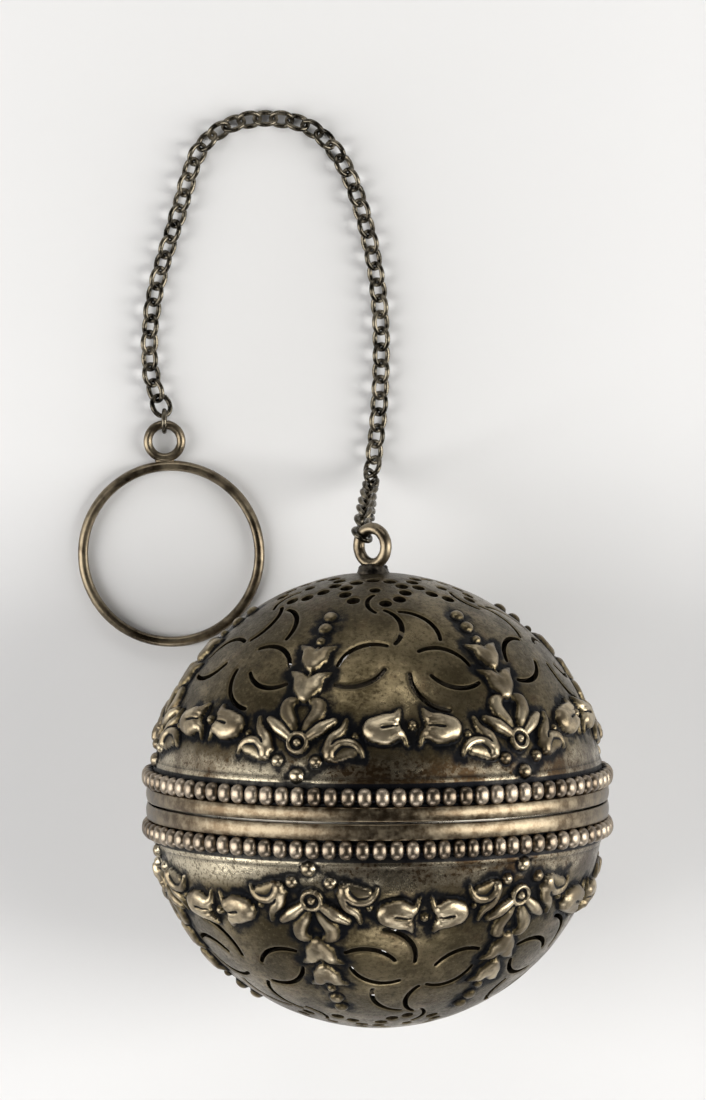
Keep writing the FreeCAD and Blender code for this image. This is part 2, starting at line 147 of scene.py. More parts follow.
class Nodes:
    """A small helper for building node materials."""

    def __init__(self, name):
        self.material = bpy.data.materials.new(name)
        self.material.use_nodes = True
        self.tree = self.material.node_tree
        self.bsdf = self.tree.nodes["Principled BSDF"]

    def add(self, kind, **inputs):
        node = self.tree.nodes.new(kind)
        for key, value in inputs.items():
            if key.startswith("set_"):
                setattr(node, key[4:], value)
            else:
                self.link(value, node.inputs[key.replace("_", " ")])
        return node

    def link(self, value, socket):
        if isinstance(value, bpy.types.NodeSocket):
            self.tree.links.new(value, socket)
        else:
            socket.default_value = value

    def attribute(self, name):
        return self.add("ShaderNodeAttribute", set_attribute_name=name).outputs["Fac"]

    def position(self):
        return self.add("ShaderNodeTexCoord").outputs["Object"]

    def noise(self, scale, detail, rough=0.55, stretch=None):
        source = self.position()
        if stretch:
            source = self.add("ShaderNodeMapping", Vector=source, Scale=stretch).outputs[0]
        return self.add("ShaderNodeTexNoise", Vector=source, Scale=scale, Detail=detail,
                        Roughness=rough).outputs["Fac"]

    def remap(self, value, a, b, c=0.0, d=1.0):
        node = self.add("ShaderNodeMapRange", Value=value, set_interpolation_type="SMOOTHSTEP")
        for index, number in zip((1, 2, 3, 4), (a, b, c, d)):
            node.inputs[index].default_value = number
        return node.outputs[0]

    def math(self, kind, a, b):
        node = self.tree.nodes.new("ShaderNodeMath")
        node.operation = kind
        self.link(a, node.inputs[0])
        self.link(b, node.inputs[1])
        return node.outputs[0]

    def weighted(self, *pairs):
        """The sum of values, each times its weight."""
        terms = [self.math("MULTIPLY", value, weight) for value, weight in pairs]
        total = terms[0]
        for term in terms[1:]:
            total = self.math("ADD", total, term)
        return total

    def mix(self, factor, a, b):
        node = self.tree.nodes.new("ShaderNodeMix")
        node.data_type = "RGBA"
        self.link(factor, node.inputs[0])
        for value, socket in ((a, node.inputs[6]), (b, node.inputs[7])):
            self.link(value if isinstance(value, bpy.types.NodeSocket) else (*value, 1.0), socket)
        return node.outputs[2]

    def bump(self, height, strength, distance, normal=None):
        node = self.add("ShaderNodeBump", Height=height, Strength=strength, Distance=distance)
        if normal is not None:
            self.link(normal, node.inputs["Normal"])
        return node.outputs[0]


def floor_material():
    """Plain pale grey, very slightly clouded."""
    m = Nodes("floor_white")
    m.bsdf.inputs["Roughness"].default_value = 0.75
    m.bsdf.inputs["Specular IOR Level"].default_value = 0.2
    cloud = m.noise(6.0, 3.0)
    m.link(m.mix(m.remap(cloud, 0.3, 0.7), (0.73, 0.73, 0.735), (0.76, 0.76, 0.765)),
           m.bsdf.inputs["Base Color"])
    return m.material


floor_mesh.materials.append(floor_material())

world = bpy.data.worlds.new("studio")
bpy.context.scene.world = world
world.use_nodes = True
tree = world.node_tree
coords = tree.nodes.new("ShaderNodeTexCoord")
split = tree.nodes.new("ShaderNodeSeparateXYZ")
ramp = tree.nodes.new("ShaderNodeValToRGB")
tree.links.new(coords.outputs["Generated"], split.inputs[0])
tree.links.new(split.outputs["Z"], ramp.inputs[0])
tree.links.new(ramp.outputs[0], tree.nodes["Background"].inputs[0])
stops = ramp.color_ramp.elements
SKY_LOW = (0.26, 0.27, 0.29, 1)
stops[0].position, stops[0].color = 0.0, SKY_LOW
stops[1].position, stops[1].color = 1.0, (0.010, 0.008, 0.006, 1)
for place, colour in ((0.22, SKY_LOW), (0.50, (0.14, 0.14, 0.14, 1)), (0.72, (0.022, 0.018, 0.013, 1))):
    stop = stops.new(place)
    stop.color = colour
tree.nodes["Background"].inputs[1].default_value = 1.0


def area_light(name, at, towards, size, power, colour):
    """A soft box: its place and target in metres, its width and height, its power in watts."""
    data = bpy.data.lights.new(name, "AREA")
    data.shape = "RECTANGLE"
    data.size, data.size_y = size
    data.energy = power
    data.color = colour
    lamp = bpy.data.objects.new(name, data)
    bpy.context.scene.collection.objects.link(lamp)
    lamp.location = at
    lamp.rotation_euler = (Vector(towards) - Vector(at)).to_track_quat("-Z", "Y").to_euler()


area_light("softbox_left", (-0.54, -0.06, 0.32), (0, 0.02, 0.02), (0.34, 0.80), 4.6, (1, 0.985, 0.96))
area_light("softbox_right", (0.55, -0.02, 0.31), (0, 0.02, 0.02), (0.26, 0.70), 5.1, (1, 0.985, 0.95))
area_light("softbox_low", (0.04, -0.62, 0.36), (0, 0.02, 0.02), (0.50, 0.20), 1.7, (0.98, 0.98, 1))
area_light("softbox_top", (-0.05, 0.68, 0.36), (0, 0.04, 0.02), (0.60, 0.24), 1.25, (1, 0.99, 0.97))


# ---------------------------------------------------------------- the ornament of one sector

# A stroke is a raised form along a line on the ball: points as (azimuth, latitude) in degrees, half
# widths in millimetres along it, its height and its section.

def spline(points, steps):
    """A smooth line through a few points, by Catmull-Rom."""
    pts = np.array(points, float)
    if len(pts) == 2:
        t = np.linspace(0, 1, steps)[:, None]
        return pts[0] * (1 - t) + pts[1] * t
    ends = np.vstack([2 * pts[0] - pts[1], pts, 2 * pts[-1] - pts[-2]])
    out = []
    for i in range(len(pts) - 1):
        t = np.linspace(0, 1, steps, endpoint=(i == len(pts) - 2))[:, None]
        p0, p1, p2, p3 = ends[i:i + 4]
        out.append(0.5 * (2 * p1 + (p2 - p0) * t + (2 * p0 - 5 * p1 + 4 * p2 - p3) * t ** 2
                          + (3 * p1 - p0 - 3 * p2 + p3) * t ** 3))
    return np.vstack(out)


STROKES = []
GROOVES = []


def stroke(points, widths, height, section="dome", at=0.0, mirror=False):
    """One raised form of the sector, and its mirror image where asked."""
    for side in ((1, -1) if mirror else (1,)):
        STROKES.append(([(side * a + at, l) for a, l in points], widths, height, section))


def groove(points, half_width, depth, at):
    """A cut along a line and its mirror image, as a share of the height there."""
    for side in (1, -1):
        GROOVES.append(([(side * a + at, l) for a, l in points], half_width, depth))


def boss(azimuth, latitude, radius, height, at, mirror=False):
    """A round bead."""
    stroke([(azimuth - 0.01, latitude), (azimuth + 0.01, latitude)], (radius, radius), height,
           "ball", at, mirror)


def define_ornament():
    """The raised forms of one sector, which lie about the azimuth of its husks, called drop."""
    drop = SECTOR / 2
    # rosette with its raised ring and centre bead, and the dots under it
    stroke([(-0.01, 19.0), (0.01, 19.0)], (1.12, 1.12), 0.60, "ring", drop)
    boss(0, 19.0, 0.42, 0.80, drop)
    boss(5.1, 14.6, 0.60, 0.56, drop, True)
    boss(0.3, 11.1, 0.72, 0.62, drop)
    # leaves above the rosette
    stroke([(1.3, 21.5), (2.6, 24.0), (4.4, 26.6), (4.3, 28.9), (1.6, 30.2)],
           (0.38, 0.62, 0.78, 0.72, 0.30), 0.52, "dome", drop, True)
    stroke([(3.0, 20.8), (6.0, 22.8), (9.0, 24.6)], (0.50, 0.66, 0.40), 0.72, "dome", drop, True)
    # two husks and the beads above
    for low, size in ((31.6, 1.06), (40.0, 0.98)):
        stroke([(0.5, low - 0.4), (1.7, low + 2.2 * size), (3.1, low + 4.2 * size),
                (6.4, low + 5.9 * size)],
               (0.60 * size, 0.90 * size, 0.62 * size, 0.16), 0.56, "dome", drop, True)
        stroke([(0.0, low - 0.8), (0.0, low + 2.6 * size), (0.0, low + 5.4 * size)],
               (0.56 * size, 0.62 * size, 0.16), 0.58, "dome", drop)
    boss(0, 38.7, 0.38, 0.40, drop)
    boss(0, 47.5, 0.46, 0.40, drop)
    boss(-0.2, 52.0, 0.68, 0.46, drop)
    boss(-0.4, 56.5, 0.68, 0.46, drop)
    # garland: near tulip, a pointed leaf and a hood over a hollow
    stroke([(8.0, 17.3), (9.4, 20.1), (11.6, 22.4), (12.5, 25.0)], (0.56, 0.66, 0.44, 0.24), 0.66, "dome",
           drop, True)
    stroke([(8.6, 15.9), (9.0, 17.6), (11.6, 19.2), (14.8, 18.9), (16.4, 17.4), (17.1, 15.8)],
           (0.56, 0.66, 0.48, 0.42, 0.34, 0.16), 0.86, "dome", drop, True)
    stroke([(9.8, 15.9), (12.0, 17.3), (14.4, 17.2)], (0.66, 0.92, 0.60), 0.44, "dome", drop, True)
    boss(15.0, 21.0, 0.36, 0.36, drop, True)
    # garland: main tulip and the bead between the two
    stroke([(19.9, 23.3), (22.9, 24.5), (25.3, 25.2), (26.7, 27.5)], (0.92, 0.80, 0.64, 0.22), 0.84, "dome",
           drop, True)
    stroke([(19.9, 21.8), (22.9, 21.0), (25.3, 21.5), (27.2, 21.0), (28.4, 18.5)],
           (1.00, 0.92, 0.74, 0.40, 0.15), 0.86, "dome", drop, True)
    stroke([(20.0, 22.5), (23.0, 22.7), (25.6, 23.1)], (1.18, 1.02, 0.50), 0.95, "dome", drop, True)
    boss(30.0, 23.6, 0.46, 0.50, drop)
    groove([(22.0, 22.6), (24.0, 22.9), (26.6, 23.3)], 0.11, 0.36, drop)
    groove([(13.0, 20.4), (10.6, 19.8), (9.4, 18.6)], 0.12, 0.25, drop)
    # fillet line along the rim
    stroke([(a, 9.8) for a in np.linspace(-45, 35, 41)], [0.16] * 41, 0.10, "line")


define_ornament()

# slots cut through the shell: each one's start, middle and end as (azimuth, latitude)
SLOTS = [
    ((-5.4, 60.0), (1.0, 53.8), (-2.6, 47.2)),
    ((1.7, 59.3), (12.4, 56.0), (14.9, 48.3)),
    ((5.3, 44.6), (14.1, 45.3), (21.6, 39.8)),
    ((7.6, 37.1), (14.2, 33.5), (22.6, 34.5)),
    ((1.0, 37.7), (3.0, 31.4), (11.1, 27.3)),
    ((-5.7, 46.5), (-15.1, 46.3), (-21.9, 40.4)),
    ((-6.8, 39.2), (-12.2, 35.2), (-21.7, 34.6)),
]
SLOT = 0.25                   # half a slot's width
SLOT_GAP = 0.16               # distance between the points of a slot's outline
FLOWER_AT = (-10.5, 70.5)     # the pierced flower: round holes about a small one, and a tail
FLOWER_SPREAD = 2.96
FLOWER_HOLE = 0.655           # radius of one of its holes
FLOWER_PLACES = 11            # the last place is left free for the tail
FLOWER_START = -68.7          # degrees
FLOWER_EYE = 0.56
TAIL = 0.22                   # half the tail's width
CURVE_POINTS = 20             # points round one hole


def tangent_frame(azimuth, latitude):
    """The outward, east and north directions at a place on the ball."""
    normal = unit(azimuth, latitude)
    east = np.cross([0, 1, 0], normal)
    east /= np.linalg.norm(east)
    return normal, east, np.cross(normal, east)


def off_tangent(frame_axes, xy):
    """Points given in millimetres in a tangent plane, as azimuth and latitude."""
    normal, east, north = frame_axes
    p = normal + (xy[:, :1] * east + xy[:, 1:] * north) / RADIUS
    p /= np.linalg.norm(p, axis=1)[:, None]
    return np.degrees(np.stack([np.arctan2(p[:, 0], p[:, 2]), np.arcsin(p[:, 1])], -1))


def to_tangent(frame_axes, points):
    """Azimuth and latitude as millimetres in a tangent plane."""
    normal, east, north = frame_axes
    p = unit(points[:, 0], points[:, 1])
    k = p @ normal
    return np.stack([p @ east / k, p @ north / k], -1) * RADIUS


def arc_through(a, b, c, count):
    """Points along the circle through three flat points."""
    a, b, c = (np.asarray(p, float) for p in (a, b, c))
    d = 2 * (a[0] * (b[1] - c[1]) + b[0] * (c[1] - a[1]) + c[0] * (a[1] - b[1]))
    q = np.array([a @ a, b @ b, c @ c])
    middle = np.array([q @ [b[1] - c[1], c[1] - a[1], a[1] - b[1]],
                       q @ [c[0] - b[0], a[0] - c[0], b[0] - a[0]]]) / d
    angles = np.unwrap([math.atan2(*(p - middle)[::-1]) for p in (a, b, c)])
    turn = np.interp(np.linspace(0, 2, count), (0, 1, 2), angles)
    return middle + np.linalg.norm(a - middle) * np.stack([np.cos(turn), np.sin(turn)], -1)


def slot_outline(line, half_width):
    """A round-ended outline round a line in a tangent plane, a little wider in its middle."""
    steps = np.linalg.norm(np.diff(line, axis=0), axis=1)
    count = max(6, int(steps.sum() / SLOT_GAP))
    s = np.concatenate([[0], np.cumsum(steps)])
    t = np.linspace(0, s[-1], count + 1)
    mid = np.stack([np.interp(t, s, line[:, k]) for k in (0, 1)], -1)
    way = np.gradient(mid, axis=0)
    way /= np.linalg.norm(way, axis=1)[:, None]
    side = np.stack([-way[:, 1], way[:, 0]], -1)
    swell = half_width * (0.86 + 0.22 * np.sin(np.pi * t / s[-1]))[:, None]
    left, right = mid + side * swell, mid - side * swell
    caps = []
    for end, way_end, w in ((-1, way[-1], swell[-1]), (0, -way[0], swell[0])):
        angles = np.linspace(np.pi / 2, -np.pi / 2, 6)[1:-1]
        normal = np.array([-way_end[1], way_end[0]])
        caps.append(mid[end] + w * (np.cos(angles)[:, None] * way_end + np.sin(angles)[:, None] * normal))
    return np.vstack([left, caps[0], right[::-1], caps[1]])


def hole_outlines():
    """The outlines of a sector's holes, as azimuth and latitude."""
    outlines = []
    for ends in SLOTS:
        axes = tangent_frame(*ends[1])
        line = arc_through(*to_tangent(axes, np.array(ends)), 30)
        outlines.append(off_tangent(axes, slot_outline(line, SLOT)))
    axes = tangent_frame(*FLOWER_AT)
    turn = np.linspace(0, 2 * np.pi, CURVE_POINTS, endpoint=False)
    round_hole = np.stack([np.cos(turn), np.sin(turn)], -1)
    for place in range(FLOWER_PLACES - 1):
        angle = math.radians(FLOWER_START + 360 * place / FLOWER_PLACES)
        middle = FLOWER_SPREAD * np.array([math.cos(angle), math.sin(angle)])
        size = FLOWER_HOLE * (1 + 0.05 * np.sin(3.1 * place))
        outlines.append(off_tangent(axes, middle + size * round_hole))
    tail = arc_through((-0.12, -1.15), (-0.72, -2.7), (0.12, -4.5), 24)
    outlines.append(off_tangent(axes, FLOWER_EYE * round_hole))
    outlines.append(off_tangent(axes, slot_outline(tail, TAIL)))
    return outlines


HOLES = hole_outlines()
PATH_STEPS = 9                # points between two of a stroke's own


def profile(section, r, top):
    """Height over a stroke at r, the share of its half width from its middle."""
    body = np.sqrt(np.clip(1 - r * r, 0, 1))
    if section == "ball":
        return top * body
    if section == "ring":
        lip = np.clip(1 - ((r - 0.80) / 0.20) ** 2, 0, 1) ** 0.5
        return top * np.where(r < 1, np.maximum(0.40, lip), 0)
    return top * body ** 0.8


def relief(azimuth, latitude):
    """Height of the ornament, and distance outside its edge, for points of the sector."""
    p = unit(azimuth, latitude)
    height = np.zeros(len(p))
    outside = np.full(len(p), FAR)
    for line, widths, top, section in STROKES:
        path = spline(line, PATH_STEPS)
        width = np.interp(np.linspace(0, 1, len(path)), np.linspace(0, 1, len(widths)), widths)
        for turn in (-SECTOR, 0):
            q = unit(path[:, 0] + turn, path[:, 1])
            middle = q.mean(0)
            middle /= np.linalg.norm(middle)
            reach = np.arccos(np.clip(q @ middle, -1, 1)).max() + 2.2 / RADIUS
            near = np.nonzero(p @ middle > math.cos(min(reach, 3.0)))[0]
            if not len(near):
                continue
            gap = RADIUS * np.linalg.norm(p[near, None, :] - q[None, :, :], axis=2)
            score = gap - width[None, :]
            best = score.argmin(1)
            d = gap[np.arange(len(near)), best]
            w = width[best]
            if section != "line":
                outside[near] = np.minimum(outside[near], d - w)
            h = profile(section, d / w, top)
            if section == "dome":
                h = h * np.clip(w / 0.60, 0.35, 1)
            old = height[near]
            high, low = np.maximum(old, h), np.minimum(old, h)
            blend = 0.16 * np.clip(low / 0.25, 0, 1)
            high += np.clip(blend - (high - low), 0, None) ** 2 / (4 * blend + 1e-9)
            height[near] = high
    for line, half_width, depth in GROOVES:
        path = spline(line, PATH_STEPS)
        for turn in (-SECTOR, 0):
            q = unit(path[:, 0] + turn, path[:, 1])
            near = np.nonzero(p @ q[len(q) // 2] > 0.97)[0]
            if len(near):
                d = RADIUS * np.linalg.norm(p[near, None, :] - q[None, :, :], axis=2).min(1)
                height[near] *= 1 - depth * np.exp(-(d / half_width) ** 2)
    return height, outside


# ---------------------------------------------------------------- the pierced and embossed shell

def side_azimuth(latitude):
    """The left side of a sector, bent round the pierced flower so that no hole crosses it."""
    return -30.0 - 11.2 * smooth(52, 62, latitude)


def flat_map(points):
    """Stereographic map of (azimuth, latitude) about the pole."""
    r = 2 * np.tan(np.radians(90 - points[:, 1]) / 2)
    a = np.radians(points[:, 0])
    return np.stack([r * np.sin(a), -r * np.cos(a)], -1)


def inside(polygon, xy):
    """Which points are in a polygon, both flat."""
    result = np.zeros(len(xy), bool)
    a, b = polygon, np.roll(polygon, -1, axis=0)
    for (x1, y1), (x2, y2) in zip(a, b):
        if y1 == y2:
            continue
        cross = (xy[:, 1] < y1) != (xy[:, 1] < y2)
        result ^= cross & (xy[:, 0] < (x2 - x1) * (xy[:, 1] - y1) / (y2 - y1) + x1)
    return result


def hole_gap(points):
    """Distance in millimetres from points to the nearest hole outline."""
    p = unit(points[:, 0], points[:, 1])
    gap = np.full(len(p), FAR)
    for outline in HOLES:
        closed = np.vstack([outline, outline[:1]])
        fine = np.vstack([closed[:-1], (closed[:-1] + closed[1:]) / 2])
        q = unit(fine[:, 0], fine[:, 1])
        middle = q.mean(0) / np.linalg.norm(q.mean(0))
        near = np.nonzero(p @ middle > math.cos(3.6 / RADIUS))[0]
        if len(near):
            d = RADIUS * np.linalg.norm(p[near, None, :] - q[None], axis=2).min(1)
            gap[near] = np.minimum(gap[near], d)
    return gap


LOWEST = 0.10                 # latitude of the shell's rim, degrees
HIGHEST = 89.0                # latitude of the last row of points
RIM_STEP = 0.30               # distance between points of the rim
OUTER_STEP = 0.155
INNER_STEP = 1.1
NEAR_RELIEF = 0.55            # the mesh is fine this near to the ornament and to a hole
NEAR_HOLE = 0.45


def sector_mesh(step, fine):
    """Flat triangulation of one sector round its holes: points as (azimuth, latitude), triangles, and
    the hole loops."""
    rows = [LOWEST]
    while rows[-1] < HIGHEST:
        rows.append(rows[-1] + math.degrees(step / RADIUS))
    points, left = [], []
    for k, lat in enumerate(rows):
        arc = math.radians(SECTOR) * RADIUS * math.cos(math.radians(lat))
        count = max(1, int(round(arc / (RIM_STEP if k == 0 else step))))
        u = (np.arange(1, count) + (0.5 if k % 2 and count > 3 else 0.0)) / count
        u = u[u < 1 - 0.4 / count]
        row = np.stack([side_azimuth(lat) + SECTOR * u, np.full(len(u), lat)], -1)
        if k == 0:
            rim = row
        else:
            keep = np.ones(len(row), bool)
            if fine:
                _, outside = relief(row[:, 0], row[:, 1])
                gap = hole_gap(row)
                plain = (outside > NEAR_RELIEF) & (gap > NEAR_HOLE)
                keep = ~plain | ((k % 2 == 0) & (np.arange(len(row)) % 2 == 0))
            points.append(row[keep])
        left.append((side_azimuth(lat), lat))
    left = np.array(left)
    if fine:
        _, outside = relief(left[:, 0], left[:, 1])
        keep = (outside < NEAR_RELIEF) | (np.arange(len(left)) % 2 == 0)
        keep[0] = keep[-1] = True
        left = left[keep]
    right = left + [SECTOR, 0]
    inner = np.vstack(points)
    gap = hole_gap(inner)
    inner = inner[gap > 0.45 * min(step, 0.22)]
    flat_holes = [flat_map(outline) for outline in HOLES]
    flat_inner = flat_map(inner)
    in_hole = np.zeros(len(inner), bool)
    for polygon in flat_holes:
        in_hole |= inside(polygon, flat_inner)
    inner = inner[~in_hole]
    border = np.vstack([left, [[0, 90]], right[::-1], rim[::-1]])
    angles = [border]
    edges = [(i, (i + 1) % len(border)) for i in range(len(border))]
    start = len(border)
    for outline in HOLES:
        angles.append(outline)
        edges += [(start + i, start + (i + 1) % len(outline)) for i in range(len(outline))]
        start += len(outline)
    angles = np.vstack(angles + [inner])
    coords = [Vector(p) for p in flat_map(angles)]
    out, _, faces, source, _, _ = geometry.delaunay_2d_cdt(coords, edges, [], 0, 1e-7, True)
    assert all(source), "the triangulation added points of its own"
    angles = angles[[ids[0] for ids in source]]
    flat = flat_map(angles)
    faces = np.array([list(f) for f in faces if len(f) == 3])
    middle = flat[faces].mean(1)
    keep = inside(flat_map(border), middle)
    for polygon in flat_holes:
        keep &= ~inside(polygon, middle)
    a, b, c = flat[faces[:, 0]], flat[faces[:, 1]], flat[faces[:, 2]]
    area = np.abs((b - a)[:, 0] * (c - a)[:, 1] - (b - a)[:, 1] * (c - a)[:, 0])
    return angles, faces[keep & (area > 3e-7)]


def full_half(step, fine):
    """The six sectors as one surface. Returns unit points, sector-relative angles and triangles."""
    angles, faces = sector_mesh(step, fine)
    az, lat = angles[:, 0], angles[:, 1]
    verts, rel, tris = [], [], []
    for k in range(SECTORS):
        verts.append(unit(az + SECTOR * k, lat))
        rel.append(angles)
        tris.append(faces + k * len(az))
    verts, rel, tris = np.vstack(verts), np.vstack(rel), np.vstack(tris)
    _, first, back = np.unique(np.round(verts, 6) + 0.0, axis=0, return_index=True, return_inverse=True)
    back = back.reshape(-1)
    tris = back[tris]
    good = (tris[:, 0] != tris[:, 1]) & (tris[:, 1] != tris[:, 2]) & (tris[:, 2] != tris[:, 0])
    return verts[first], rel[first], tris[good]


def open_edges(tris):
    """Directed edges used by one triangle only."""
    e = np.vstack([tris[:, [0, 1]], tris[:, [1, 2]], tris[:, [2, 0]]])
    key = np.sort(e, axis=1)
    _, index, counts = np.unique(key, axis=0, return_index=True, return_counts=True)
    return e[index[counts == 1]]


def spread_mean(values, tris, rounds):
    """Mean over neighbours, a number of times."""
    e = np.vstack([tris[:, [0, 1]], tris[:, [1, 2]], tris[:, [2, 0]]])
    count = np.bincount(e.ravel(), minlength=len(values))
    for _ in range(rounds):
        total = np.bincount(e[:, 0], values[e[:, 1]], len(values))
        total += np.bincount(e[:, 1], values[e[:, 0]], len(values))
        values = total / np.maximum(count, 1)
    return values


def outward(verts, tris):
    """Triangles turned to face away from the ball's centre."""
    a, b, c = verts[tris[:, 0]], verts[tris[:, 1]], verts[tris[:, 2]]
    wrong = (np.cross(b - a, c - a) * a).sum(1) < 0
    tris = tris.copy()
    tris[wrong] = tris[wrong][:, ::-1]
    return tris


def shell_surfaces():
    """Points in millimetres about the ball's centre, triangles and vertex attributes of the half."""
    step = OUTER_STEP
    p, rel, tris = full_half(step, True)
    tris = outward(p, tris)
    height, outside = relief(rel[:, 0], rel[:, 1])
    gap = hole_gap(rel)
    lat = rel[:, 1]
    # the field sinks a little beside the ornament, and the edges of holes are drawn in
    recess = -0.10 * np.exp(-np.clip(outside, 0, FAR) / 0.45) * (outside > 0)
    edge = -0.07 * np.exp(-(gap / 0.13) ** 2)
    lift = height + recess * smooth(3, 8, lat) + edge
    lift += 0.045 * ripple(p * RADIUS, 3, 13.0, 3) * smooth(2, 8, lat) * (1 - 0.6 * smooth(80, 86, lat))
    lift += 0.012 * ripple(p * RADIUS, 5, 1.6, 2) * (height > 0.05)
    outer = p * (RADIUS + lift)[:, None]
    hollow = spread_mean(height, tris, 2) - height
    wide = spread_mean(height, tris, 14) - height
    q, rel_in, tris_in = full_half(INNER_STEP, False)
    tris_in = outward(q, tris_in)
    lift_in = relief(rel_in[:, 0], rel_in[:, 1])[0]
    depth = RADIUS - SHELL + 0.35 * lift_in
    inner = q * depth[:, None]
    # join the two surfaces with walls along the rim and round every hole
    rims_out = open_edges(tris)
    rims_in = open_edges(tris_in)
    ids_in = np.unique(rims_in)
    match = {}
    ring_out = np.unique(rims_out)
    for start in range(0, len(ring_out), 500):
        block = ring_out[start:start + 500]
        d = ((p[block, None, :] - q[None, ids_in, :]) ** 2).sum(2)
        near = d.argmin(1)
        assert d[np.arange(len(block)), near].max() < 1e-7, "the shell's edges don't meet"
        match.update(zip(block.tolist(), ids_in[near].tolist()))
    base = len(outer)
    walls = [[b, a, base + match[a], base + match[b]] for a, b in rims_out.tolist()]
    verts = np.vstack([outer, inner])
    faces = tris.tolist() + (tris_in[:, ::-1] + base).tolist() + walls
    sharp = [tuple(e) for e in rims_out] + [(base + a, base + b) for a, b in rims_in]
    pad = len(inner)
    attributes = {
        "relief": np.concatenate([height, np.zeros(pad)]),
        "outside": np.concatenate([outside, np.full(pad, FAR)]),
        "hollow": np.concatenate([hollow, np.zeros(pad)]),
        "wide": np.concatenate([wide, np.zeros(pad)]),
        "hole_gap": np.concatenate([gap, np.full(pad, FAR)]),
        "latitude": np.concatenate([lat, rel_in[:, 1]]),
        "inner_side": np.concatenate([np.zeros(base), np.ones(pad)]),
    }
    return verts, faces, sharp, attributes


def half_turn(phase, flipped):
    """Rotation that puts the half drawn about +Y in its place."""
    a = math.radians(phase)
    turn = np.array([[math.cos(a), 0, math.sin(a)], [0, 1, 0], [-math.sin(a), 0, math.cos(a)]])
    if flipped:
        turn = turn @ np.diag([-1.0, -1.0, 1.0])
    return turn


# ---------------------------------------------------------------- materials

BRIGHT = (0.50, 0.42, 0.29)
WORN = (0.205, 0.163, 0.094)
OLIVE = (0.058, 0.045, 0.023)
RUST = (0.058, 0.034, 0.017)
# blue-black of the soot in the patina, also used as painted shade on the shell behind the bead row
SOOT_AND_SHADE = (0.0045, 0.0058, 0.0085)


